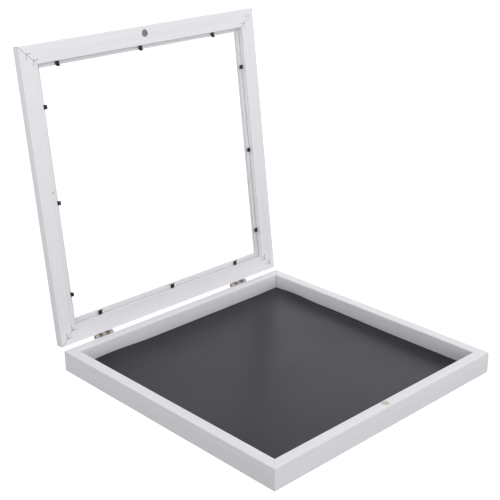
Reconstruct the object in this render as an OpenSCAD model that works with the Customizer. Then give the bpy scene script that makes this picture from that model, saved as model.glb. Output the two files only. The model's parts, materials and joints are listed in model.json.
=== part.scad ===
// Display case for pinned butterflies: a shallow mitred box with a glazed, hinged lid.
// The origin is the centre of the underside. +Z is up, +Y is the hinge side and -Y the magnet side.
// The lid is drawn shut, with its inner face down, and then swung open about the hinge axis.
// Each rail is drawn in a frame of its own: x along the rail, y inwards from its outer face, z up.

/* [Case] */
// Outside width, along the hinge edge
case_w = 400; // [250:5:600]
// Outside depth, from the hinge side to the magnet side
case_d = 400; // [250:5:600]
// Height of the base rails
base_h = 29.5; // [24:0.5:80]
// Thickness of the base rails
wall = 15; // [14:0.5:30]
// Radius on the long edges of every rail
edge_r = 0.8; // [0.3:0.1:1.5]
// Hairline between two mitred ends
mitre_gap = 0.1; // [0.05:0.05:0.3]

/* [Back panel and lining] */
// Thickness of the hardboard back panel
panel_t = 3; // [2:0.5:5]
// Width of the seat cut in each base rail for the panel
panel_seat = 7; // [6:0.5:9]
// Thickness of the pinning foam
foam_t = 4.2; // [3:0.1:10]
// Thickness of the black sheet over the foam
sheet_t = 0.8; // [0.5:0.1:2]
// Room round the foam and the sheet
lining_gap = 0.5; // [0.2:0.1:1.5]

/* [Lid] */
// Thickness of the lid rails
lid_t = 13; // [11:0.5:20]
// Width of the lid rails, lip included
lid_rail_w = 30.5; // [28:0.5:60]
// Width of the lip that the glazing lies on
lip_w = 6.3; // [4:0.1:9]
// Thickness of that lip
lip_t = 5; // [3:0.5:6]
// Gap between the shut lid and the base
shut_gap = 0.5; // [0.3:0.1:1.5]
// How far the lid opens from shut, in degrees
open_angle = 96.56; // [80:0.01:110]

/* [Glazing] */
// Thickness of the glazing
glazing_t = 2; // [1.5:0.5:3]
// Room between the glazing's edge and the rails
glazing_gap = 0.6; // [0.3:0.1:1.5]
// Width of a glazing point at the wood
point_w = 6; // [4:0.5:8]
// Width of a glazing point at its tip
point_tip_w = 5.2; // [3:0.1:6]
// Thickness of a glazing point
point_t = 0.6; // [0.4:0.1:1]
// Length of a glazing point that is driven into the rail
point_bite = 7; // [4:0.5:12]
// Length of a glazing point that stands out over the glazing
point_reach = 7.5; // [6:0.5:12]
// Length of the raised tip
point_tip = 2.4; // [1:0.1:4]
// Rise of the tip off the glazing
point_rise = 1.6; // [0.5:0.1:2.5]
// Front rail's points: from its left end, past its middle, from its right end
points_front = [57, -8, 77]; // [-40:1:110]
// Right rail's points: from its magnet end, past its middle, from its hinge end
points_right = [82, 7, 67]; // [-40:1:110]
// Back rail's points: from its right end, past its middle, from its left end
points_back = [76, 0, 71]; // [-40:1:110]
// Left rail's points: from its hinge end, past its middle, from its magnet end
points_left = [66, -7, 80]; // [-40:1:110]

/* [Corner nails] */
// Length of each leg of a V nail
vee_leg = 7; // [5:0.5:9]
// Thickness of a V nail
vee_t = 0.6; // [0.4:0.1:1]
// Length of the lid's V nails
lid_vee_h = 8; // [5:0.5:10]
// Length of the base's V nails
base_vee_h = 10; // [5:0.5:15]
// Outer nail of each lid corner, from the lid's sides
lid_vee_out = 9.8; // [4:0.1:12]
// Inner nail of each lid corner, from the glazing rebate
lid_vee_in = 5.4; // [3:0.1:8]
// Outer nail of each base corner, from the case's sides
base_vee_out = 3.6; // [2:0.1:5]

/* [Magnets] */
// Diameter of the two disc magnets
magnet_d = 10; // [6:0.5:11]
// Thickness of the magnets
magnet_t = 3; // [2:0.5:5]
// Wood left between the base magnet and the inside of the case
magnet_rim = 1; // [1:0.1:2]
// The magnets' place along the front rails, from the middle
magnet_x = -2; // [-40:1:40]

/* [Hinges] */
// Length of a hinge
hinge_l = 30; // [20:1:60]
// Knuckles of a hinge, the outer ones on the base leaf
knuckles = 5; // [3:2:7]
// Diameter of the barrel
knuckle_d = 5.8; // [5:0.1:8]
// Gap between the barrel and the back faces
barrel_gap = 0.1; // [0.1:0.05:0.5]
// Diameter of the hinge pin
pin_d = 2.4; // [1.5:0.1:3]
// Diameter of the pin's peened heads
pin_head_d = 3.6; // [3.2:0.1:5]
// Thickness of the pin's heads
pin_head_t = 0.5; // [0.3:0.1:1]
// Thickness of a leaf
leaf_t = 1; // [0.8:0.1:1.5]
// From the edge of the shut lid leaf to the lid's outer face
leaf_margin = 1.8; // [1:0.1:3]
// Left hinge's middle, from the left side of the case
hinge_left_in = 68; // [40:1:110]
// Right hinge's middle, from the right side of the case
hinge_right_in = 79; // [40:1:110]
// How far the stop tabs reach past the barrel
stop_reach = 1.4; // [1:0.1:2]
// Thickness of a stop tab
stop_t = 0.8; // [0.5:0.1:1]
// Length of the hinge screws
screw_l = 9; // [6:0.5:12]
// Diameter of a screw's shank
screw_d = 2; // [1.5:0.1:2.5]
// Diameter of a screw's head
screw_head_d = 4.2; // [3:0.1:5]
// From the end of a leaf to the middle of its screw
screw_end = 6.5; // [4:0.5:9]

/* [Back panel staples] */
// Staples on each side of the panel
staples = 4; // [2:1:6]
// Width of a staple over its legs
staple_w = 11.4; // [6:0.1:13]
// Length of a staple's legs
staple_leg = 8; // [6:0.5:12]
// Thickness of the staple wire
staple_wire = 0.8; // [0.5:0.1:1.2]
// From the end of a rail to the middle of its outermost staple
staple_end = 45; // [30:1:80]

/* [Fits] */
// Clearance round a fastener or a magnet in its pocket
fit = 0.05; // [0.03:0.01:0.1]
// Clearance between parts that turn past each other
run_gap = 0.15; // [0.1:0.05:0.3]

/* [Hidden] */
$fn = 96;

// The four sides, in the order in which a quarter turn about Z takes one to the next
sides = ["front", "right", "back", "left"];
points = [points_front, points_right, points_back, points_left];

// Reach of a cutting solid past the surface that it opens
past = 1;

// Lid: where it lies shut, and what the rails leave for the glazing
lid_z = base_h + shut_gap;
rebate_d = lid_t - lip_t;
rebate_y = lid_rail_w - lip_w;
point_z = rebate_d - glazing_t - fit - point_t;

// Hinge: the axis lies outside the back face, half way up the gap, so that the barrel clears both rails
hinge_out = knuckle_d / 2 + barrel_gap;
hinge_y = case_d / 2 + hinge_out;
hinge_z = base_h + shut_gap / 2;
leaf_h = shut_gap / 2 + lid_t - leaf_margin;
notch_h = knuckle_d / 2 + run_gap;
stop_y = -hinge_out + leaf_t + fit;
screw_z = (leaf_h + notch_h) / 2;
knuckle_pitch = hinge_l / knuckles;
hinges_x = [-case_w / 2 + hinge_left_in, case_w / 2 - hinge_right_in];
screws_x = [-hinge_l / 2 + screw_end, hinge_l / 2 - screw_end];
screw_head_h = (screw_head_d - screw_d) / 2;
recess_w = screw_d / 4;
recess_depth = screw_head_h * 0.7;

// Magnets: both stand the same distance from the front face, so they meet when the lid is shut
magnet_y = wall - magnet_rim - magnet_d / 2;

// Quarter turns from the front to a side, and the side that comes after it
function turns(side) = search([side], sides)[0];
function next(side) = sides[(turns(side) + 1) % len(sides)];

// Length of a side's rail, which is the case's width or depth
function span(side) = turns(side) % 2 == 0 ? case_w : case_d;

// Places of the three glazing points along a rail
function point_places(side) =
    let (p = points[turns(side)], half = span(side) / 2)
    [-half + p[0], p[1], half - p[2]];

// Places of the staples along a rail
function staple_places(side) =
    let (reach = span(side) / 2 - staple_end)
    [for (i = [0 : staples - 1]) -reach + i * 2 * reach / (staples - 1)];

// Carries a rail's own frame to its side of the case
module at_side(side) {
    rotate([0, 0, 90 * turns(side)]) translate([0, -span(next(side)) / 2, 0]) children();
}

// Carries the frame to the corner where a side's rail begins
module at_corner(side) {
    at_side(side) translate([-span(side) / 2, 0, 0]) children();
}

// Flat block that stays a margin inside the case's sides, from z upwards
module flat_block(margin, z, t) {
    w = case_w - 2 * margin;
    d = case_d - 2 * margin;
    translate([-w / 2, -d / 2, z]) cube([w, d, t]);
}

// Turns what is drawn as part of the shut lid to where the open lid holds it
module swing_open() {
    translate([0, hinge_y, hinge_z]) rotate([-open_angle, 0, 0])
        translate([0, -hinge_y, -hinge_z]) children();
}

// Rectangle from the origin with round corners
module round_rect(w, h, r) {
    translate([r, 0]) square([w - 2 * r, h]);
    translate([0, r]) square([w, h - 2 * r]);
    for (x = [r, w - r], y = [r, h - r]) translate([x, y]) circle(r);
}

// Runs a profile of y and z along a side and mitres both ends
module mitred_rail(side, width, height) {
    half = span(side) / 2;
    back_off = mitre_gap / sqrt(2);
    intersection() {
        translate([-half, 0, 0]) rotate([90, 0, 90]) linear_extrude(2 * half) children();
        translate([0, 0, -past]) linear_extrude(height + 2 * past)
            polygon([[-half + back_off - past, -past], [half - back_off + past, -past],
                     [half - back_off - width - past, width + past],
                     [-half + back_off + width + past, width + past]]);
    }
}

// V nail with its point at the origin and a leg along each rail
module vee_nail(h, grow = 0) {
    for (plan = [[vee_leg, vee_t], [vee_t, vee_leg]])
        translate([-vee_t / 2 - grow, -vee_t / 2 - grow, -grow])
            cube([plan[0] + 2 * grow, plan[1] + 2 * grow, h + 2 * grow]);
}

// Both V nails of a lid corner
module lid_vees(grow = 0) {
    for (in = [lid_vee_out, rebate_y - lid_vee_in]) translate([in, in, 0]) vee_nail(lid_vee_h, grow);
}

// Both V nails of a base corner: one in the rim, one in the panel's seat
module base_vees(grow = 0) {
    translate([base_vee_out, base_vee_out, 0]) vee_nail(base_vee_h, grow);
    translate([wall - panel_seat / 2, wall - panel_seat / 2, panel_t]) vee_nail(base_vee_h - panel_t, grow);
}

module magnet(grow = 0) {
    translate([0, 0, -grow]) cylinder(h = magnet_t + 2 * grow, d = magnet_d + 2 * grow);
}

// Staple with its crown in the panel's underside and its legs up through the panel
module staple(grow = 0) {
    translate([-staple_w / 2 - grow, -staple_wire / 2 - grow, -grow])
        cube([staple_w + 2 * grow, staple_wire + 2 * grow, staple_wire + 2 * grow]);
    for (x = [-staple_w / 2, staple_w / 2 - staple_wire])
        translate([x - grow, -staple_wire / 2 - grow, -grow])
            cube([staple_wire + 2 * grow, staple_wire + 2 * grow, staple_leg + 2 * grow]);
}

// All the staples of one side
module side_staples(side, grow = 0) {
    for (x = staple_places(side)) translate([x, wall - panel_seat / 2, 0]) staple(grow);
}

// Glazing point in a rail's frame, its raised tip away from the glazing
module glazing_point(grow = 0) {
    flat = point_reach - point_tip;
    translate([0, rebate_y, point_z]) intersection() {
        translate([-point_w / 2 - grow, 0, 0]) rotate([90, 0, 90]) linear_extrude(point_w + 2 * grow)
            polygon([[-point_bite - grow, -grow], [flat, -grow], [point_reach, -point_rise],
                     [point_reach, point_t - point_rise], [flat, point_t + grow],
                     [-point_bite - grow, point_t + grow]]);
        translate([0, 0, -point_rise - past]) linear_extrude(point_rise + point_t + 2 * past)
            polygon([[-point_w / 2 - grow, -point_bite - past], [point_w / 2 + grow, -point_bite - past],
                     [point_w / 2 + grow, 0], [point_tip_w / 2, point_reach], [-point_tip_w / 2, point_reach],
                     [-point_w / 2 - grow, 0]]);
    }
}

// All the glazing points of one side
module side_points(side, grow = 0) {
    for (x = point_places(side)) translate([x, 0, 0]) glazing_point(grow);
}

// Countersunk wood screw along -Y, its head flush with y = 0
module screw(grow = 0) {
    tip_l = screw_d;
    rotate([90, 0, 0]) difference() {
        union() {
            translate([0, 0, -grow])
                cylinder(h = screw_head_h + 2 * grow, d1 = screw_head_d + 2 * grow, d2 = screw_d + 2 * grow);
            cylinder(h = screw_l - tip_l + grow, d = screw_d + 2 * grow);
            translate([0, 0, screw_l - tip_l])
                cylinder(h = tip_l + grow, d1 = screw_d + 2 * grow, d2 = screw_d / 5);
        }
        if (grow == 0) for (turn = [0, 90]) rotate([0, 0, turn])
            translate([-screw_d / 2, -recess_w / 2, -past]) cube([screw_d, recess_w, past + recess_depth]);
    }
}

// The screws of both hinges, at a height above the axis
module hinge_screws(z, grow = 0) {
    for (x = hinges_x, s = screws_x)
        translate([x + s, case_d / 2 + leaf_t, hinge_z + z]) screw(grow);
}

// Barrel sections of one leaf about the X axis: first is 0 for the outer knuckles and 1 for those between
module knuckle_run(first, d, gap) {
    for (i = [first : 2 : knuckles - 1])
        translate([-hinge_l / 2 + i * knuckle_pitch + gap / 2, 0, 0]) rotate([0, 90, 0])
            cylinder(h = knuckle_pitch - gap, d = d);
}

// Bore of the barrel about the X axis
module pin_bore() {
    rotate([0, 90, 0]) cylinder(h = hinge_l + 2 * past, d = pin_d + 2 * fit, center = true);
}

// Hinge leaf hanging down from the axis at the origin, flat on a back face
module leaf(first) {
    difference() {
        union() {
            translate([-hinge_l / 2, -hinge_out, -leaf_h]) cube([hinge_l, leaf_t, leaf_h]);
            knuckle_run(first, knuckle_d, run_gap);
        }
        for (i = [1 - first : 2 : knuckles - 1])
            translate([-hinge_l / 2 + i * knuckle_pitch - run_gap / 2, -hinge_out - past, -notch_h])
                cube([knuckle_pitch + run_gap, leaf_t + 2 * past, notch_h + past]);
        pin_bore();
        for (x = screws_x) translate([x, -hinge_out + leaf_t, -screw_z]) screw(fit);
    }
}

// Tabs on the lid leaf's knuckles, drawn where they meet the base leaf when the lid is open
module stop_tabs() {
    root = knuckle_d / 4;
    for (i = [1 : 2 : knuckles - 1])
        translate([-hinge_l / 2 + i * knuckle_pitch + run_gap / 2, stop_y, -knuckle_d / 2 - stop_reach])
            cube([knuckle_pitch - run_gap, stop_t, stop_reach + root]);
}

module base_rail(side) {
    color([0.93, 0.93, 0.95]) difference() {
        at_side(side) mitred_rail(side, wall, base_h) round_rect(wall, base_h, edge_r);
        flat_block(wall - panel_seat, -past, panel_t + past);
        for (corner = [side, next(side)]) at_corner(corner) base_vees(fit);
        at_side(side) side_staples(side, fit);
        if (side == "front") base_magnet_place() magnet(fit);
        if (side == "back") hinge_screws(-screw_z, fit);
    }
}

module base_corner_nails() {
    color([0.52, 0.5, 0.47]) for (side = sides) at_corner(side) base_vees();
}

module back_panel() {
    color([0.47, 0.33, 0.21]) difference() {
        flat_block(wall - panel_seat + lining_gap, 0, panel_t);
        for (side = sides) at_side(side) side_staples(side, fit);
    }
}

module back_panel_staples() {
    color([0.7, 0.7, 0.72]) for (side = sides) at_side(side) side_staples(side);
}

module pinning_foam() {
    color([0.9, 0.9, 0.88]) flat_block(wall + lining_gap, panel_t, foam_t);
}

module liner_sheet() {
    color([0.12, 0.12, 0.13]) flat_block(wall + lining_gap, panel_t + foam_t, sheet_t);
}

module base_magnet_place() {
    at_side("front") translate([magnet_x, magnet_y, base_h - magnet_t]) children();
}

module base_magnet() {
    color([0.72, 0.69, 0.65]) base_magnet_place() magnet();
}

module base_leaf(x) {
    color([0.6, 0.58, 0.55]) translate([x, hinge_y, hinge_z]) leaf(0);
}

// Pin with a peened head against each outer knuckle
module hinge_pin(x) {
    color([0.66, 0.64, 0.6]) translate([x - hinge_l / 2 - pin_head_t, hinge_y, hinge_z]) rotate([0, 90, 0]) {
        cylinder(h = hinge_l + 2 * pin_head_t, d = pin_d);
        for (end = [0, hinge_l + pin_head_t]) translate([0, 0, end]) cylinder(h = pin_head_t, d = pin_head_d);
    }
}

module base_hinge_screws() {
    color([0.68, 0.66, 0.63]) hinge_screws(-screw_z);
}

module lid_rail(side) {
    color([0.93, 0.93, 0.95]) swing_open() difference() {
        translate([0, 0, lid_z]) at_side(side) difference() {
            mitred_rail(side, lid_rail_w, lid_t) difference() {
                round_rect(lid_rail_w, lid_t, edge_r);
                translate([rebate_y, -past]) square([lip_w + past, rebate_d + past]);
            }
            side_points(side, fit);
        }
        for (corner = [side, next(side)]) translate([0, 0, lid_z]) at_corner(corner) lid_vees(fit);
        if (side == "front") lid_magnet_place() magnet(fit);
        if (side == "back") hinge_screws(screw_z, fit);
    }
}

module lid_corner_nails() {
    color([0.52, 0.48, 0.43]) swing_open()
        for (side = sides) translate([0, 0, lid_z]) at_corner(side) lid_vees();
}

module glazing() {
    color([0.85, 0.92, 0.93, 0.25]) swing_open()
        flat_block(rebate_y + glazing_gap, lid_z + rebate_d - glazing_t, glazing_t);
}

module glazing_points(side) {
    color([0.1, 0.1, 0.1]) swing_open() translate([0, 0, lid_z]) at_side(side) side_points(side);
}

module lid_magnet_place() {
    translate([0, 0, lid_z]) at_side("front") translate([magnet_x, magnet_y, 0]) children();
}

module lid_magnet() {
    color([0.5, 0.48, 0.45]) swing_open() lid_magnet_place() magnet();
}

module lid_leaf(x) {
    color([0.6, 0.58, 0.55]) swing_open() translate([x, hinge_y, hinge_z]) {
        difference() {
            union() {
                mirror([0, 0, 1]) leaf(1);
                rotate([open_angle, 0, 0]) stop_tabs();
            }
            pin_bore();
        }
    }
}

module lid_hinge_screws() {
    color([0.68, 0.66, 0.63]) swing_open() hinge_screws(screw_z);
}

base_rail("front");  // base_rail_front
base_rail("right");  // base_rail_right
base_rail("back");  // base_rail_back
base_rail("left");  // base_rail_left
base_corner_nails();
back_panel();
back_panel_staples();
pinning_foam();
liner_sheet();
base_magnet();
base_leaf(hinges_x[0]);  // hinge_left_base_leaf
base_leaf(hinges_x[1]);  // hinge_right_base_leaf
hinge_pin(hinges_x[0]);  // hinge_left_pin
hinge_pin(hinges_x[1]);  // hinge_right_pin
base_hinge_screws();
lid_rail("front");  // lid_rail_front
lid_rail("right");  // lid_rail_right
lid_rail("back");  // lid_rail_back
lid_rail("left");  // lid_rail_left
lid_corner_nails();
glazing();
glazing_points("front");  // glazing_points_front
glazing_points("right");  // glazing_points_right
glazing_points("back");  // glazing_points_back
glazing_points("left");  // glazing_points_left
lid_magnet();
lid_leaf(hinges_x[0]);  // hinge_left_lid_leaf
lid_leaf(hinges_x[1]);  // hinge_right_lid_leaf
lid_hinge_screws();
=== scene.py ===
import json
import math
import bmesh
import bpy
from mathutils import Matrix, Vector


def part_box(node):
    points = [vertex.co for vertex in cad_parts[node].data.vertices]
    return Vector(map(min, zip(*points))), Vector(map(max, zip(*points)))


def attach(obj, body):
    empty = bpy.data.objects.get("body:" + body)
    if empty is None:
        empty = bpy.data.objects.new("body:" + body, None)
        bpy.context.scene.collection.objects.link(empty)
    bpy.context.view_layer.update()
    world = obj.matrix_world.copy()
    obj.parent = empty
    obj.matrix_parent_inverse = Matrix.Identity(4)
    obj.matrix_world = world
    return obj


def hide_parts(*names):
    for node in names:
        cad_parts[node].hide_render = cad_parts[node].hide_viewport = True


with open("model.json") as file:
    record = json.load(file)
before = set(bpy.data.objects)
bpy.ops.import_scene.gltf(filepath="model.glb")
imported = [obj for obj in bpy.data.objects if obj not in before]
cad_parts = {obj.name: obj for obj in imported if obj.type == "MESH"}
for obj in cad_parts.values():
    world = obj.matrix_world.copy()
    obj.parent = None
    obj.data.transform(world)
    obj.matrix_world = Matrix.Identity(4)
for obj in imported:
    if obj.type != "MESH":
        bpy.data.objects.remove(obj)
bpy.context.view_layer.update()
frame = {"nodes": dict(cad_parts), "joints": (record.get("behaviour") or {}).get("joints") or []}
nodes = frame["nodes"]
mm = 0.001
print("frame loaded:", len(nodes), "nodes")


# Small helpers for selecting, editing and smoothing

editing = {
    "slack": 0.01 * mm,  # measures closer than this are the same
    "weld": 0.001 * mm,  # points closer than this are one
    "facing": 0.9,  # how squarely a face looks along an axis to count as facing it
    "smoothAngle": 35,  # degrees, steeper edges stay sharp
    "flatWeight": 100,  # how much the wide faces outweigh the narrow ones
}


def deselect():
    bpy.ops.object.select_all(action="DESELECT")


def activate(piece):
    deselect()
    piece.select_set(True)
    bpy.context.view_layer.objects.active = piece


def openEdit(piece):
    activate(piece)
    bpy.ops.object.mode_set(mode="EDIT")


def closeEdit():
    bpy.ops.object.mode_set(mode="OBJECT")


def pickAll():
    bpy.ops.mesh.select_all(action="SELECT")


def pick(kind, test):
    # Selects the VERT, EDGE or FACE parts of the mesh in edit mode that pass a test
    bpy.ops.mesh.select_mode(type=kind)
    bpy.ops.mesh.select_all(action="DESELECT")
    mesh = bmesh.from_edit_mesh(bpy.context.object.data)
    parts = {"VERT": mesh.verts, "EDGE": mesh.edges, "FACE": mesh.faces}[kind]
    for part in parts:
        if test(part):
            part.select_set(True)
    bmesh.update_edit_mesh(bpy.context.object.data)


def near(a, b):
    return abs(a - b) < editing["slack"]


def applyLast(piece):
    bpy.ops.object.modifier_apply(modifier=piece.modifiers[-1].name)


def smooth(piece):
    # Smooths the small steps of rounded edges and keeps the wide faces beside them flat
    activate(piece)
    bpy.ops.object.shade_smooth_by_angle(angle=math.radians(editing["smoothAngle"]))
    bpy.ops.object.modifier_add(type="WEIGHTED_NORMAL")
    piece.modifiers[-1].keep_sharp = True
    piece.modifiers[-1].weight = editing["flatWeight"]
    applyLast(piece)


def applyPlace():
    bpy.ops.object.transform_apply(location=True, rotation=True, scale=True)


def settle(piece, name):
    # Applies the place of a finished piece to its mesh, names it and smooths it
    activate(piece)
    applyPlace()
    piece.name = name
    piece.data.name = name
    smooth(piece)
    return piece


def dress(piece, material):
    piece.data.materials.clear()
    piece.data.materials.append(material)


# Small helpers for shader trees

def put(tree, kind, inputs=None, **settings):
    # Adds a node, and gives each input a value or a link
    node = tree.nodes.new("ShaderNode" + kind)
    for key, value in settings.items():
        setattr(node, key, value)
    for key, value in (inputs or {}).items():
        if isinstance(value, bpy.types.NodeSocket):
            tree.links.new(value, node.inputs[key])
        else:
            node.inputs[key].default_value = value
    return node


def calc(tree, operation, *values):
    return put(tree, "Math", dict(enumerate(values)), operation=operation).outputs[0]


def calcVector(tree, operation, *values):
    # Gives a vector, or a number where the operation has one
    node = put(tree, "VectorMath", dict(enumerate(values)), operation=operation)
    return node.outputs["Value" if operation in ("DISTANCE", "DOT_PRODUCT") else "Vector"]


def remap(tree, value, low, high, toLow=0.0, toHigh=1.0, **settings):
    inputs = {"Value": value, "From Min": low, "From Max": high, "To Min": toLow, "To Max": toHigh}
    return put(tree, "MapRange", inputs, **settings).outputs[0]


def choose(tree, share, first, second):
    # The first number where the share is 0, the second where it is 1
    return put(tree, "Mix", {0: share, 2: first, 3: second}).outputs[0]


def blend(tree, share, first, second):
    # The first colour where the share is 0, the second where it is 1
    return put(tree, "Mix", {0: share, 6: first, 7: second}, data_type="RGBA").outputs[2]


def noise(tree, spot, scale, detail, **more):
    return put(tree, "TexNoise", {"Vector": spot, "Scale": scale, "Detail": detail, **more}).outputs[0]


def objectSpot(tree):
    return put(tree, "TexCoord").outputs["Object"]


def mixShaders(tree, share, first, second):
    return put(tree, "MixShader", {0: share, 1: first.outputs[0], 2: second.outputs[0]})


def newGroup(name, inputs, outputs):
    group = bpy.data.node_groups.new(name, "ShaderNodeTree")
    for label, kind in inputs.items():
        group.interface.new_socket(label, in_out="INPUT", socket_type="NodeSocket" + kind)
    for label, kind in outputs.items():
        group.interface.new_socket(label, in_out="OUTPUT", socket_type="NodeSocket" + kind)
    return group, group.nodes.new("NodeGroupInput"), group.nodes.new("NodeGroupOutput")


def place(tree, group, inputs):
    return put(tree, "Group", inputs, node_tree=group)


def newMaterial(name, values):
    material = bpy.data.materials.new(name)
    material.use_nodes = True
    shader = material.node_tree.nodes["Principled BSDF"]
    for key, value in values.items():
        shader.inputs[key].default_value = value
    return material, material.node_tree, shader


def shape(tree, shader, colour, height, strength, depth):
    # Gives a finish its colour and its fine relief
    bump = put(tree, "Bump", {"Height": height, "Strength": strength, "Distance": depth})
    tree.links.new(colour, shader.inputs["Base Color"])
    tree.links.new(bump.outputs[0], shader.inputs["Normal"])


def toColour(r, g, b):
    return (r, g, b, 1.0)


white = toColour(1, 1, 1)


# Camera, where the photograph was taken from

shot = {
    "place": (-0.92832, -0.93552, 0.69976),
    "heading": 43.36,  # degrees from +Y towards +X
    "tilt": 21.70,  # degrees below level
    "roll": -0.57,
    "lens": 79.58,  # mm
    "sensor": 36,  # mm wide
}


def addCamera():
    deselect()
    bpy.ops.object.camera_add(location=shot["place"])
    camera = bpy.context.object
    turn = Matrix.Rotation(-math.radians(shot["heading"]), 3, "Z")
    turn = turn @ Matrix.Rotation(math.radians(90 - shot["tilt"]), 3, "X")
    turn = turn @ Matrix.Rotation(math.radians(shot["roll"]), 3, "Z")
    camera.rotation_euler = turn.to_euler()
    camera.data.lens = shot["lens"]
    camera.data.sensor_width = shot["sensor"]
    bpy.context.scene.camera = camera


addCamera()
print("camera placed")


# Studio: a room and a floor that look white behind the case, the light that they give it, and two soft lights

studio = {
    "backdrop": 1.25,  # what the camera sees behind the case
    "ambient": 0.31,  # light from all round
    "lobeSharpness": 4.0,  # how narrow each bright side of the room is
    # Each bright side of the room: degrees from +Y towards +X, degrees above level, strength
    "lobes": [
        (0, 15, 0.15), (45, 15, 0.75), (90, 15, 1.0), (135, 15, 0.15),
        (180, 15, 0.98), (225, 15, 0.93), (270, 15, 0.15), (315, 15, 0.15),
    ],
    "floorSize": 2.0,
    "floorDrop": 0.2 * mm,  # how far under the case it lies
    "floorColour": (0.31, 0.31, 0.32),  # for the light that it sends back to the case
    "floorMirrored": 0.6,  # how bright the floor is in the pane's reflections
    "lightsFace": (0, 0, 0.1),
    "lights": {
        "nearLight": {"place": (-0.9, 0.9, 0.5), "size": 0.5, "power": 0.47},
        "highLight": {"place": (-0.8, 0.3, 1.1), "size": 0.6, "power": 1.25},
    },
}


def seenDirectly(tree):
    # 1 for what the camera sees, straight or through the glazing
    path = put(tree, "LightPath")
    sight = calc(tree, "MAXIMUM", path.outputs["Is Camera Ray"], path.outputs["Is Transmission Ray"])
    bounces = calc(tree, "ADD", path.outputs["Diffuse Depth"], path.outputs["Glossy Depth"])
    return calc(tree, "MULTIPLY", sight, calc(tree, "LESS_THAN", bounces, 0.5))


def towards(azimuth, elevation):
    turn, rise = math.radians(azimuth), math.radians(elevation)
    return (math.sin(turn) * math.cos(rise), math.cos(turn) * math.cos(rise), math.sin(rise))


def makeRoom():
    world = bpy.data.worlds.new("studio")
    world.use_nodes = True
    bpy.context.scene.world = world
    tree = world.node_tree
    tree.nodes.clear()
    ray = put(tree, "TexCoord").outputs["Generated"]
    start = put(tree, "Value")
    start.outputs[0].default_value = studio["ambient"]
    strength = start.outputs[0]
    for azimuth, elevation, share in studio["lobes"]:
        facing = calcVector(tree, "DOT_PRODUCT", ray, towards(azimuth, elevation))
        lobe = calc(tree, "POWER", calc(tree, "MAXIMUM", facing, 0.0), studio["lobeSharpness"])
        strength = calc(tree, "MULTIPLY_ADD", lobe, share, strength)
    felt = put(tree, "Background", {"Color": white, "Strength": strength})
    seen = put(tree, "Background", {"Color": white, "Strength": studio["backdrop"]})
    mix = mixShaders(tree, seenDirectly(tree), felt, seen)
    put(tree, "OutputWorld", {"Surface": mix.outputs[0]})


def makeFloor():
    deselect()
    bpy.ops.mesh.primitive_plane_add(size=studio["floorSize"], location=(0, 0, -studio["floorDrop"]))
    floor = bpy.context.object
    floor.name = "floor"
    material = bpy.data.materials.new("palePaper")
    material.use_nodes = True
    material.cycles.emission_sampling = "NONE"  # its glow is for the camera and lights nothing
    tree = material.node_tree
    tree.nodes.clear()
    matt = put(tree, "BsdfDiffuse", {"Color": toColour(*studio["floorColour"])})
    mirrored = put(tree, "Emission", {"Color": white, "Strength": studio["floorMirrored"]})
    felt = mixShaders(tree, put(tree, "LightPath").outputs["Is Glossy Ray"], matt, mirrored)
    glow = put(tree, "Emission", {"Color": white, "Strength": studio["backdrop"]})
    mix = mixShaders(tree, seenDirectly(tree), felt, glow)
    put(tree, "OutputMaterial", {"Surface": mix.outputs[0]})
    dress(floor, material)


def makeLights():
    for name, values in studio["lights"].items():
        bpy.ops.object.light_add(type="AREA", location=values["place"])
        light = bpy.context.object
        light.name = name
        light.data.size = values["size"]
        light.data.energy = values["power"]
        aim = Vector(studio["lightsFace"]) - light.location
        light.rotation_euler = aim.to_track_quat("-Z", "Y").to_euler()
        light.visible_camera = False


makeRoom()
makeFloor()
makeLights()
bpy.context.scene.view_settings.view_transform = "Standard"
print("studio lit")


# Where things are, from the frame

sides = ["front", "right", "back", "left"]
hinge = frame["joints"][0]
hingeAxis = Vector(hinge["pos_m"])
openAngle = math.radians(hinge["range_deg"][1] - hinge["range_deg"][0])
caseLow = Vector((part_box("base_rail_left")[0].x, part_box("base_rail_front")[0].y, 0))
caseHigh = Vector((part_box("base_rail_right")[1].x, *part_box("base_rail_back")[1].yz))
# The underside of the shut lid is as far over the hinge axis as the rim is under it
lidSeat = 2 * hingeAxis.z - caseHigh.z
swing = Matrix.Translation(hingeAxis) @ Matrix.Rotation(-openAngle, 4, "X") @ Matrix.Translation(-hingeAxis)


# Effects that several finishes share

grainLook = {
    "fibreDetail": 3.0,
    "fibreRoughness": 0.6,
    "bandScale": 0.22,  # bands for each fibre
    "bandDetail": 2.0,
    "toneEdges": (0.75, 1.25),
}


def makeGrain():
    # Fibres of the wood that show through, long in one direction
    group, given, result = newGroup("woodGrain", {"Position": "Vector", "Stretch": "Vector"},
                                    {"Tone": "Float", "Height": "Float"})
    stretched = calcVector(group, "MULTIPLY", given.outputs["Position"], given.outputs["Stretch"])
    fibres = noise(group, stretched, 1.0, grainLook["fibreDetail"], Roughness=grainLook["fibreRoughness"])
    bands = noise(group, stretched, grainLook["bandScale"], grainLook["bandDetail"])
    tone = remap(group, calc(group, "ADD", fibres, bands), *grainLook["toneEdges"])
    group.links.new(tone, result.inputs["Tone"])
    group.links.new(fibres, result.inputs["Height"])
    return group


mitreLook = {
    "lineEdges": (1.2, 0.5),  # where the line ends and where it is full, in widths from its middle
    "breaks": 190.0,  # patches per metre that break the line
    "breakDetail": 3.0,
    "breakSoftness": 0.06,
}


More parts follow.
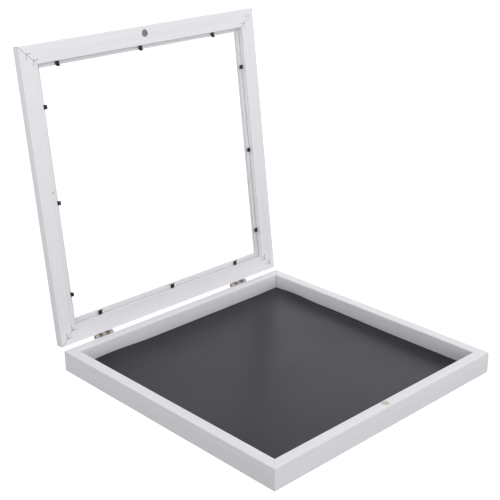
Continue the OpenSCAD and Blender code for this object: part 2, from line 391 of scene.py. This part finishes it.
def makeJointLine():
    # A thin broken line on the mitres, where x and y are equally far from the middle
    corners = dict.fromkeys(["Front Left", "Front Right", "Back Left", "Back Right"], "Float")
    group, given, result = newGroup("mitreLine", {"Position": "Vector", "Width": "Float", **corners},
                                    {"Line": "Float"})
    at = put(group, "SeparateXYZ", {0: given.outputs["Position"]})
    right = calc(group, "GREATER_THAN", at.outputs["X"], 0.0)
    back = calc(group, "GREATER_THAN", at.outputs["Y"], 0.0)
    front = choose(group, right, given.outputs["Front Left"], given.outputs["Front Right"])
    rear = choose(group, right, given.outputs["Back Left"], given.outputs["Back Right"])
    broken = choose(group, back, front, rear)
    x = calc(group, "ABSOLUTE", at.outputs["X"])
    y = calc(group, "ABSOLUTE", at.outputs["Y"])
    off = calc(group, "ABSOLUTE", calc(group, "SUBTRACT", x, y))
    off = calc(group, "DIVIDE", off, given.outputs["Width"])
    line = remap(group, off, *mitreLook["lineEdges"], interpolation_type="SMOOTHSTEP")
    patches = noise(group, given.outputs["Position"], mitreLook["breaks"], mitreLook["breakDetail"])
    least = calc(group, "SUBTRACT", broken, mitreLook["breakSoftness"])
    most = calc(group, "ADD", broken, mitreLook["breakSoftness"])
    line = calc(group, "MULTIPLY", line, remap(group, patches, least, most))
    group.links.new(line, result.inputs["Line"])
    return group


wearLook = {
    "wearEdges": (2.6, 1.8),  # where the wear ends and where it is full, in widths and with the fray added
    "fray": 3.0,  # how far the edge strays, in widths
    "frayScale": 420.0,  # frays per metre
    "frayDetail": 3.0,
}


def makeNailWear():
    # Bare wood around a V nail in the lid's inner face, with its point Inset from both sides
    group, given, result = newGroup(
        "nailWear", {"Position": "Vector", "Inset": "Float", "Leg": "Float", "Width": "Float"},
        {"Wear": "Float"})
    folded = calcVector(group, "ABSOLUTE", given.outputs["Position"])
    inward = calcVector(group, "MULTIPLY_ADD", folded, (-1, -1, 1), (caseHigh.x, caseHigh.x, -lidSeat))
    tip = put(group, "CombineXYZ", {"X": given.outputs["Inset"], "Y": given.outputs["Inset"]})
    off = calcVector(group, "SUBTRACT", inward, tip.outputs[0])
    ahead = calcVector(group, "MAXIMUM", off, (0, 0, 0))
    fromLegs = []
    for axis in "XY":
        end = put(group, "CombineXYZ", {axis: given.outputs["Leg"]})
        nearest = calcVector(group, "MINIMUM", ahead, end.outputs[0])
        fromLegs.append(calcVector(group, "DISTANCE", off, nearest))
    away = calc(group, "DIVIDE", calc(group, "MINIMUM", *fromLegs), given.outputs["Width"])
    frayed = noise(group, given.outputs["Position"], wearLook["frayScale"], wearLook["frayDetail"])
    away = calc(group, "MULTIPLY_ADD", frayed, wearLook["fray"], away)
    wear = remap(group, away, *wearLook["wearEdges"], interpolation_type="SMOOTHSTEP")
    group.links.new(wear, result.inputs["Wear"])
    return group


tarnishLook = {
    "detail": 4.0,
    "roughness": 0.65,
    "patchEdges": (0.8, 1.2),
}


def makeTarnish():
    # Two colours in soft patches with fine specks, and a roughness that follows them
    group, given, result = newGroup(
        "tarnish", {"Scale": "Float", "Clean": "Color", "Dull": "Color", "Amount": "Float",
                    "Smooth": "Float", "Rough": "Float"},
        {"Color": "Color", "Roughness": "Float", "Height": "Float"})
    patches = noise(group, objectSpot(group), given.outputs["Scale"], tarnishLook["detail"],
                    Roughness=tarnishLook["roughness"])
    raised = calc(group, "ADD", patches, given.outputs["Amount"])
    mask = remap(group, raised, *tarnishLook["patchEdges"])
    colour = blend(group, mask, given.outputs["Clean"], given.outputs["Dull"])
    rough = remap(group, mask, 0.0, 1.0, given.outputs["Smooth"], given.outputs["Rough"])
    group.links.new(colour, result.inputs["Color"])
    group.links.new(rough, result.inputs["Roughness"])
    group.links.new(patches, result.inputs["Height"])
    return group


woodGrain = makeGrain()
mitreLine = makeJointLine()
nailWear = makeNailWear()
tarnish = makeTarnish()


# Finishes

paint = {
    "colour": (0.875, 0.87, 0.905),
    "grainColour": (0.835, 0.83, 0.865),
    "lineColour": (0.34, 0.2, 0.12),
    "alongGrain": 14.0,  # fibres per metre along a rail
    "acrossGrain": 620.0,
    "roughness": (0.4, 0.52),
    "lineWidth": 0.45 * mm,
    # How broken the line is on the mitres: 0.3 is unbroken, 0.7 is gone
    "baseLine": {"Front Left": 0.6, "Front Right": 0.7, "Back Left": 0.7, "Back Right": 0.36},
    "lidLine": {"Front Left": 0.38, "Front Right": 0.48, "Back Left": 0.38, "Back Right": 0.49},
    "grainDepth": 0.012 * mm,
    "grainStrength": 0.6,
    "greyDot": (-179.9 * mm, -9.5 * mm),  # a small grey dot painted into the colour on the left side of the lid, as it lies shut
    "greyDotSize": 1.25 * mm,
    "greyDotEdges": (1.2, 0.7),  # where the mark ends and where it is full, in sizes
    "greyDotColour": (0.42, 0.4, 0.4),
    "wearInsets": (9.8 * mm, 18.8 * mm),  # points of the V nails at each corner of the lid
    "wearLeg": 7 * mm,
    "wearWidths": (0.38 * mm, 0.6 * mm),  # at the right and at the left corners
    "wearTurn": 1 * mm,  # from the middle, where one width gives way to the other
    "wearColour": (0.5, 0.36, 0.24),
}


def paintSpot(tree, inLid):
    spot = objectSpot(tree)
    if not inLid:
        return spot
    # Turns the pattern back to where the lid lies shut
    back = Matrix.Rotation(openAngle, 3, "X")
    return put(tree, "Mapping", {"Vector": spot, "Location": hingeAxis - back @ hingeAxis,
                                 "Rotation": (openAngle, 0, 0)}).outputs[0]


def addNailWear(tree, colour, spot):
    side = put(tree, "SeparateXYZ", {0: spot}).outputs["X"]
    width = remap(tree, side, paint["wearTurn"], -paint["wearTurn"], *paint["wearWidths"])
    for inset in paint["wearInsets"]:
        bare = place(tree, nailWear, {"Position": spot, "Inset": inset, "Leg": paint["wearLeg"],
                                      "Width": width})
        colour = blend(tree, bare.outputs["Wear"], colour, toColour(*paint["wearColour"]))
    return colour


# Paints a small grey dot into the colour of the lid's left side, with no dent under it
def addGreyDot(tree, colour, spot):
    away = calcVector(tree, "DISTANCE", spot, Vector((*paint["greyDot"], lidSeat)))
    end, full = paint["greyDotEdges"]
    dotShare = remap(tree, away, paint["greyDotSize"] * end, paint["greyDotSize"] * full)
    return blend(tree, dotShare, colour, toColour(*paint["greyDotColour"]))


def makePaint(name, inLid, runsAcross):
    material, tree, shader = newMaterial(name, {})
    spot = paintSpot(tree, inLid)
    along, across = paint["alongGrain"], paint["acrossGrain"]
    stretch = (along, across, across) if runsAcross else (across, along, across)
    grain = place(tree, woodGrain, {"Position": spot, "Stretch": stretch})
    joint = place(tree, mitreLine, {"Position": spot, "Width": paint["lineWidth"],
                                    **paint["lidLine" if inLid else "baseLine"]})
    tone = grain.outputs["Tone"]
    colour = blend(tree, tone, toColour(*paint["grainColour"]), toColour(*paint["colour"]))
    if inLid:
        colour = addNailWear(tree, colour, spot)
    if inLid and not runsAcross:
        colour = addGreyDot(tree, colour, spot)
    colour = blend(tree, joint.outputs["Line"], colour, toColour(*paint["lineColour"]))
    low, high = paint["roughness"]
    tree.links.new(remap(tree, tone, 0.0, 1.0, high, low), shader.inputs["Roughness"])
    shape(tree, shader, colour, grain.outputs["Height"], paint["grainStrength"], paint["grainDepth"])
    return material


# One paint for each direction of grain, on the base and on the lid
paints = {
    ("base", True): makePaint("paintBaseAcross", False, True),
    ("base", False): makePaint("paintBaseAlong", False, False),
    ("lid", True): makePaint("paintLidAcross", True, True),
    ("lid", False): makePaint("paintLidAlong", True, False),
}

satin = {
    "colour": (0.015, 0.0135, 0.021),
    "paleColour": (0.02, 0.018, 0.027),
    "roughness": (0.29, 0.35),
    "sheen": 0.27,  # how strongly it mirrors the room
    "sheenColour": (0.9, 0.86, 1.0),
    "clouds": 14.0,  # cloudy patches per metre
    "cloudDetail": 4.0,
    "cloudEdges": (0.3, 0.7),
    "tooth": 1400.0,  # fine surface grains per metre
    "toothDetail": 2.0,
    "toothDepth": 0.006 * mm,
    "toothStrength": 0.3,
}


def makeSatin():
    # Semi-matt black sheet with a fine tooth and faint cloudy patches
    material, tree, shader = newMaterial("satinBlack", {"Specular IOR Level": satin["sheen"],
                                                       "Specular Tint": toColour(*satin["sheenColour"])})
    spot = objectSpot(tree)
    clouds = noise(tree, spot, satin["clouds"], satin["cloudDetail"])
    tooth = noise(tree, spot, satin["tooth"], satin["toothDetail"])
    colour = blend(tree, clouds, toColour(*satin["colour"]), toColour(*satin["paleColour"]))
    rough = remap(tree, clouds, *satin["cloudEdges"], *satin["roughness"])
    tree.links.new(rough, shader.inputs["Roughness"])
    shape(tree, shader, colour, tooth, satin["toothStrength"], satin["toothDepth"])
    return material


metalRelief = 0.5  # strength of the bump on every metal
# Metals: clean and dull colour, patches per metre, how much is dull, smooth and rough, metallic, relief in mm
metals = {
    "blackSteel": ((0.014, 0.014, 0.015), (0.03, 0.027, 0.025), 500, 0.45, 0.35, 0.6, 0.4, 0.01),
    "hingeSteel": ((0.62, 0.57, 0.52), (0.3, 0.25, 0.21), 260, 0.45, 0.3, 0.6, 0.8, 0.02),
    # The lid's leaves get a darker copy of the same hinge steel, so that their knuckles look darker than the
    # base leaves'.
    "darkerHingeSteel": ((0.3, 0.26, 0.23), (0.12, 0.09, 0.07), 260, 0.5, 0.35, 0.65, 0.8, 0.02),
    "nailSteel": ((0.2, 0.15, 0.11), (0.07, 0.045, 0.03), 500, 0.55, 0.5, 0.8, 0.5, 0.02),
    "stapleSteel": ((0.66, 0.66, 0.66), (0.42, 0.42, 0.42), 500, 0.4, 0.25, 0.5, 1.0, 0.01),
    # The magnets are one nickel in two tones: the lid magnet's darker colour is painted shade, and the base
    # magnet's pale beige with little metal is a painted reflection of the bright room.
    "magnetNickelPaintedShade": ((0.34, 0.31, 0.28), (0.2, 0.17, 0.15), 220, 0.5, 0.35, 0.6, 0.8, 0.01),
    "magnetNickelPaintedReflection": ((0.72, 0.64, 0.54), (0.52, 0.45, 0.38), 260, 0.42, 0.5, 0.7, 0.1, 0.02),
}


def makeMetal(name):
    clean, dull, scale, amount, smoothest, roughest, metallic, depth = metals[name]
    material, tree, shader = newMaterial(name, {"Metallic": metallic})
    patches = place(tree, tarnish, {"Scale": scale, "Clean": toColour(*clean), "Dull": toColour(*dull),
                                    "Amount": amount, "Smooth": smoothest, "Rough": roughest})
    tree.links.new(patches.outputs["Roughness"], shader.inputs["Roughness"])
    shape(tree, shader, patches.outputs["Color"], patches.outputs["Height"], metalRelief, depth * mm)
    return material


board = {
    "pale": (0.3, 0.17, 0.08),
    "dark": (0.14, 0.07, 0.03),
    "toneEdges": (0.7, 1.3),
    "roughness": 0.62,
    "fibres": 420.0,  # per metre
    "fibreDetail": 6.0,
    "fibreTangle": 1.5,
    "weave": 42.0,  # coarse patches per metre
    "weaveDetail": 3.0,
    "depth": 0.03 * mm,
    "strength": 0.6,
}


def makeBoard():
    # Pressed brown fibres of the back panel
    material, tree, shader = newMaterial("hardboard", {"Roughness": board["roughness"]})
    spot = objectSpot(tree)
    fibres = noise(tree, spot, board["fibres"], board["fibreDetail"], Distortion=board["fibreTangle"])
    weave = noise(tree, spot, board["weave"], board["weaveDetail"])
    tone = remap(tree, calc(tree, "ADD", fibres, weave), *board["toneEdges"])
    colour = blend(tree, tone, toColour(*board["dark"]), toColour(*board["pale"]))
    shape(tree, shader, colour, fibres, board["strength"], board["depth"])
    return material


foam = {
    "colour": (0.8, 0.8, 0.76),
    "cellColour": (0.68, 0.68, 0.64),
    "roughness": 0.85,
    "cells": 900.0,  # per metre
    "depth": 0.1 * mm,
    "strength": 0.6,
}


def makeFoam():
    # Small closed cells
    material, tree, shader = newMaterial("paleFoam", {"Roughness": foam["roughness"]})
    cells = put(tree, "TexVoronoi", {"Vector": objectSpot(tree), "Scale": foam["cells"]}).outputs["Distance"]
    colour = blend(tree, cells, toColour(*foam["cellColour"]), toColour(*foam["colour"]))
    shape(tree, shader, colour, cells, foam["strength"], foam["depth"])
    return material


glass = {
    "roughness": 0.0,
    "refraction": 1.45,
}


def makeGlass():
    material, tree, shader = newMaterial("clearGlass", {
        "Base Color": white, "Roughness": glass["roughness"], "IOR": glass["refraction"],
        "Transmission Weight": 1.0})
    # Lets the lamps' light straight through, with no dark shadow
    shadow = put(tree, "LightPath").outputs["Is Shadow Ray"]
    mix = mixShaders(tree, shadow, shader, put(tree, "BsdfTransparent"))
    tree.links.new(mix.outputs[0], tree.nodes["Material Output"].inputs["Surface"])
    return material


satinBlack = makeSatin()
metalFinish = {name: makeMetal(name) for name in metals}
hardboard = makeBoard()
paleFoam = makeFoam()
clearGlass = makeGlass()
print("finishes mixed")


# Measures and edits that the pieces share

def spanOf(side):
    return (caseHigh.x - caseLow.x) if side in ("front", "back") else (caseHigh.y - caseLow.y)


def toSide(side):
    # Carries a rail drawn along X, with its outer face at y 0, to its side of the case
    after = sides[(sides.index(side) + 1) % 4]
    turn = Matrix.Rotation(math.radians(90) * sides.index(side), 4, "Z")
    return turn @ Matrix.Translation((0, -spanOf(after) / 2, 0))


def addBlock(low, high):
    deselect()
    middle = [(a + b) / 2 for a, b in zip(low, high)]
    size = [b - a for a, b in zip(low, high)]
    bpy.ops.mesh.primitive_cube_add(size=1, location=middle, scale=size)
    piece = bpy.context.object
    applyPlace()
    return piece


def slicePart(point, normal, **clear):
    bpy.ops.mesh.select_mode(type="FACE")
    pickAll()
    bpy.ops.mesh.bisect(plane_co=point, plane_no=normal, threshold=editing["weld"], **clear)


def bevelPicked(width, steps=2):
    bpy.ops.mesh.bevel(offset=width, offset_type="OFFSET", segments=steps, profile=0.5, affect="EDGES")


def roundLong(y, z, radius, steps=3):
    # Rounds the edge that runs along X through y and z
    pick("EDGE", lambda e: all(near(v.co.y, y) and near(v.co.z, z) for v in e.verts)
         and not near(e.verts[0].co.x, e.verts[1].co.x))
    bevelPicked(radius, steps)


def mitreEnds(length, gap, ease):
    # Cuts both ends at 45 degrees and breaks the cut's sharp edges a little
    reach = length / 2 - gap / math.sqrt(2)
    for end in (-1, 1):
        slicePart((end * reach, 0, 0), (-end, -1, 0), use_fill=True, clear_inner=True)
        pick("EDGE", lambda e: all(near(abs(v.co.x), reach - v.co.y) and v.co.x * end > 0 for v in e.verts))
        bevelPicked(ease)


def solidCopy(name):
    # A closed copy of a CAD node, to cut with
    activate(nodes[name])
    bpy.ops.object.duplicate()
    cutter = bpy.context.object
    openEdit(cutter)
    pickAll()
    bpy.ops.mesh.remove_doubles(threshold=editing["weld"])
    closeEdit()
    return cutter


def cutPocket(piece, cutter):
    activate(piece)
    bpy.ops.object.modifier_add(type="BOOLEAN")
    pocket = piece.modifiers[-1]
    pocket.operation = "DIFFERENCE"
    pocket.solver = "EXACT"
    pocket.object = cutter
    applyLast(piece)


def discard(piece):
    bpy.data.objects.remove(piece)


# Rails of the base and the lid

baseRail = {
    "panelSeat": 7 * mm,
    "panelThickness": 3 * mm,
    "edgeRadius": 0.8 * mm,
    "mitreGap": 0.05 * mm,
    "mitreEase": 0.22 * mm,
}

lidRail = {
    "width": 30.5 * mm,
    "thickness": 13 * mm,
    "lipWidth": 6.3 * mm,
    "lipThickness": 5 * mm,
    "edgeRadius": 0.8 * mm,
    "innerRadius": 0.3 * mm,
    "innerSteps": 2,
    "mitreGap": 0.05 * mm,
    "mitreEase": 0.22 * mm,
}


def makeBaseRail(side, nails):
    length = spanOf(side)
    low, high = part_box("base_rail_front")
    wall, height = high.y - low.y, high.z
    values = baseRail
    lip = wall - values["panelSeat"]
    piece = addBlock((-length / 2, 0, values["panelThickness"]), (length / 2, wall, height))
    openEdit(piece)
    slicePart((0, lip, 0), (0, 1, 0))
    pick("FACE", lambda f: f.normal.z < -editing["facing"] and f.calc_center_median().y < lip)
    bpy.ops.mesh.extrude_region_move(TRANSFORM_OT_translate={"value": (0, 0, -values["panelThickness"])})
    for y, z in ((0, 0), (0, height), (wall, height)):
        roundLong(y, z, values["edgeRadius"])
    mitreEnds(length, values["mitreGap"], values["mitreEase"])
    closeEdit()
    piece.matrix_world = toSide(side)
    cutPocket(piece, nails)
    return settle(piece, "baseRail" + side.capitalize())


def makeLidRail(side, nails):
    length = spanOf(side)
    values = lidRail
    rebate = values["width"] - values["lipWidth"]
    top = lidSeat + values["thickness"]
    ledge = top - values["lipThickness"]
    piece = addBlock((-length / 2, 0, lidSeat), (length / 2, rebate, top))
    openEdit(piece)
    slicePart((0, 0, ledge), (0, 0, 1))
    pick("FACE", lambda f: f.normal.y > editing["facing"] and f.calc_center_median().z > ledge)
    bpy.ops.mesh.extrude_region_move(TRANSFORM_OT_translate={"value": (0, values["lipWidth"], 0)})
    for y, z in ((0, lidSeat), (0, top), (values["width"], top)):
        roundLong(y, z, values["edgeRadius"])
    for y, z in ((rebate, lidSeat), (values["width"], ledge)):
        roundLong(y, z, values["innerRadius"], values["innerSteps"])
    mitreEnds(length, values["mitreGap"], values["mitreEase"])
    closeEdit()
    piece.matrix_world = swing @ toSide(side)
    cutPocket(piece, nails)
    return settle(piece, "lidRail" + side.capitalize())


def makeRails():
    baseNails = solidCopy("base_corner_nails")
    lidNails = solidCopy("lid_corner_nails")
    for side in sides:
        piece = makeBaseRail(side, baseNails)
        dress(piece, paints["base", side in ("front", "back")])
        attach(piece, "base")
        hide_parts("base_rail_" + side)
        piece = makeLidRail(side, lidNails)
        dress(piece, paints["lid", side in ("front", "back")])
        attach(piece, "lid")
        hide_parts("lid_rail_" + side)
    discard(baseNails)
    discard(lidNails)


makeRails()
print("rails made")


# Glazing

pane = {
    "sideRoom": 0.6 * mm,
    "lipRoom": 0.1 * mm,  # air between the pane and the lip
    "thickness": 1.9 * mm,
    "arris": 0.25 * mm,
}


def makePane():
    inset = lidRail["width"] - lidRail["lipWidth"] + pane["sideRoom"]
    low = caseLow + Vector((inset, inset, 0))
    high = caseHigh - Vector((inset, inset, 0))
    high.z = lidSeat + lidRail["thickness"] - lidRail["lipThickness"] - pane["lipRoom"]
    low.z = high.z - pane["thickness"]
    piece = addBlock(low, high)
    openEdit(piece)
    pickAll()
    bevelPicked(pane["arris"])
    closeEdit()
    piece.matrix_world = swing
    settle(piece, "glazingPane")
    dress(piece, clearGlass)
    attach(piece, "lid")
    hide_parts("glazing")


makePane()
print("glazing made")


# Points that hold the glazing

point = {
    "places": {  # middle of each point along its rail
        "front": (-143 * mm, -8 * mm, 123 * mm),
        "right": (-118 * mm, 7 * mm, 133 * mm),
        "back": (-124 * mm, 0, 129 * mm),
        "left": (-134 * mm, -7 * mm, 120 * mm),
    },
    "width": 6 * mm,
    "tipWidth": 5.2 * mm,
    "thickness": 0.6 * mm,
    "bite": 7 * mm,
    "reach": 7.5 * mm,
    "tip": 2.6 * mm,
    "rise": 2.3 * mm,
    "depth": 5.35 * mm,  # from the lid's inner face
    "easing": 0.12 * mm,
}


def makePoint():
    # One flexible point at the middle of a rail drawn along X, its tip bent away from the glazing
    wall = lidRail["width"] - lidRail["lipWidth"]
    low = lidSeat + point["depth"]
    bend = wall + point["reach"] - point["tip"]
    half = point["width"] / 2
    piece = addBlock((-half, wall - point["bite"], low), (half, bend, low + point["thickness"]))
    openEdit(piece)
    pick("FACE", lambda f: f.normal.y > editing["facing"])
    bpy.ops.mesh.extrude_region_move(TRANSFORM_OT_translate={"value": (0, point["tip"], -point["rise"])})
    bpy.ops.transform.resize(value=(point["tipWidth"] / point["width"], 1, 1))
    pickAll()
    bevelPicked(point["easing"])
    closeEdit()
    return piece


def makePoints():
    for side in sides:
        copies = []
        for along in point["places"][side]:
            piece = makePoint()
            piece.matrix_world = swing @ toSide(side) @ Matrix.Translation((along, 0, 0))
            copies.append(piece)
        activate(copies[0])
        for piece in copies:
            piece.select_set(True)
        bpy.ops.object.join()
        piece = settle(bpy.context.object, "glazingPoints" + side.capitalize())
        dress(piece, metalFinish["blackSteel"])
        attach(piece, "lid")
        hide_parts("glazing_points_" + side)


makePoints()
print("glazing points made")


# Black sheet on the foam, not quite flat at its edges

sheet = {
    "steps": 72,
    "grab": 0.1 * mm,  # how close a point of the mesh is to the place that gets lifted
    # Where it lifts: place, height and how far round about
    "lifts": [
        ((184 * mm, 150 * mm), 2.3 * mm, 55 * mm),
        ((184 * mm, 70 * mm), 1.5 * mm, 130 * mm),
        ((-132 * mm, 184 * mm), 2.2 * mm, 70 * mm),
        ((-184 * mm, -60 * mm), 0.7 * mm, 110 * mm),
        ((30 * mm, -184 * mm), 0.5 * mm, 120 * mm),
    ],
}


def makeSheet():
    low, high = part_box("liner_sheet")
    deselect()
    bpy.ops.mesh.primitive_grid_add(x_subdivisions=sheet["steps"], y_subdivisions=sheet["steps"], size=1,
                                    location=(0, 0, high.z))
    piece = bpy.context.object
    bpy.ops.transform.resize(value=(high.x - low.x, high.y - low.y, 1))
    applyPlace()
    openEdit(piece)
    for spot, lift, reach in sheet["lifts"]:
        points = bmesh.from_edit_mesh(piece.data).verts
        top = min(points, key=lambda v: (v.co.xy - Vector(spot)).length).co.xy.copy()
        pick("VERT", lambda v: (v.co.xy - top).length < sheet["grab"])
        bpy.ops.transform.translate(value=(0, 0, lift), use_proportional_edit=True, proportional_size=reach,
                                    proportional_edit_falloff="SMOOTH")
    closeEdit()
    bpy.ops.object.modifier_add(type="SOLIDIFY")
    piece.modifiers[-1].thickness = high.z - low.z
    piece.modifiers[-1].offset = -1
    applyLast(piece)
    settle(piece, "linerSheet")
    dress(piece, satinBlack)
    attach(piece, "base")
    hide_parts("liner_sheet")


makeSheet()
print("liner laid")


# Magnets

magnet = {
    "size": 10 * mm,
    "thickness": 3 * mm,
    "place": (-2 * mm, 9 * mm),  # from the middle and from the front face
    "sunk": 0.15 * mm,
    "easing": 0.35 * mm,
    "room": 0.12 * mm,
    "overcut": 1 * mm,  # how far the pocket's cutter stands out of the wood
    "easingSteps": 3,
    "steps": 64,
}


def addDisc(radius, low, high):
    deselect()
    x, y = magnet["place"][0], caseLow.y + magnet["place"][1]
    bpy.ops.mesh.primitive_cylinder_add(vertices=magnet["steps"], radius=radius, depth=high - low,
                                        location=(x, y, (low + high) / 2))
    applyPlace()
    return bpy.context.object


def makeMagnet(low, high):
    piece = addDisc(magnet["size"] / 2, low, high)
    openEdit(piece)
    pick("EDGE", lambda e: near(e.verts[0].co.z, e.verts[1].co.z))
    bevelPicked(magnet["easing"], magnet["easingSteps"])
    closeEdit()
    return piece


def cutMagnetPocket(name, low, high, carry=Matrix()):
    rail = bpy.data.objects[name]
    pocket = addDisc(magnet["size"] / 2 + magnet["room"], low, high)
    pocket.matrix_world = carry
    cutPocket(rail, pocket)
    smooth(rail)
    discard(pocket)


def makeMagnets():
    top, bottom = caseHigh.z, caseHigh.z - magnet["thickness"]
    cutMagnetPocket("baseRailFront", bottom, top + magnet["overcut"])
    piece = makeMagnet(bottom, top - magnet["sunk"])
    settle(piece, "baseMagnet")
    # The base magnet's pale colour is a painted reflection of the bright room.
    dress(piece, metalFinish["magnetNickelPaintedReflection"])
    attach(piece, "base")
    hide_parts("base_magnet")

    top = lidSeat + magnet["thickness"]
    cutMagnetPocket("lidRailFront", lidSeat - magnet["overcut"], top, swing)
    piece = makeMagnet(lidSeat + magnet["sunk"], top)
    piece.matrix_world = swing
    settle(piece, "lidMagnet")
    # The lid magnet's darker colour is painted shade.
    dress(piece, metalFinish["magnetNickelPaintedShade"])
    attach(piece, "lid")
    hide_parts("lid_magnet")


makeMagnets()
print("magnets set")


# Hinges, with the edges of their leaves and knuckles eased

hingeLook = {
    "easing": 0.12 * mm,
    "easingSteps": 2,
    "flatAngle": 1,  # degrees, faces that meet at less become one
    "edgeAngle": 40,  # degrees, sharper edges are eased
    "pieces": {  # what each piece is called, the body that carries it and its finish
        "base_leaf": ("BaseLeaf", "base", "hingeSteel"),
        "lid_leaf": ("LidLeaf", "lid", "darkerHingeSteel"),
        "pin": ("Pin", "base", "hingeSteel"),
    },
}


def makeHinges():
    for side in ("left", "right"):
        for kind, (label, body, finish) in hingeLook["pieces"].items():
            node = "hinge_%s_%s" % (side, kind)
            piece = solidCopy(node)
            openEdit(piece)
            pickAll()
            bpy.ops.mesh.dissolve_limited(angle_limit=math.radians(hingeLook["flatAngle"]))
            closeEdit()
            bpy.ops.object.modifier_add(type="BEVEL")
            edge = piece.modifiers[-1]
            edge.width = hingeLook["easing"]
            edge.segments = hingeLook["easingSteps"]
            edge.limit_method = "ANGLE"
            edge.angle_limit = math.radians(hingeLook["edgeAngle"])
            applyLast(piece)
            settle(piece, "hinge" + side.capitalize() + label)
            dress(piece, metalFinish[finish])
            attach(piece, body)
            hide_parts(node)


makeHinges()
print("hinges eased")


# Finishes of the pieces that stay as they came

finishOf = {
    "nails": metalFinish["nailSteel"],
    "staples": metalFinish["stapleSteel"],
    "screws": metalFinish["hingeSteel"],
    "panel": hardboard,
    "foam": paleFoam,
}

for name, piece in nodes.items():
    kind = name.split("_")[-1]
    if kind in finishOf:
        dress(piece, finishOf[kind])
print("frame pieces finished")
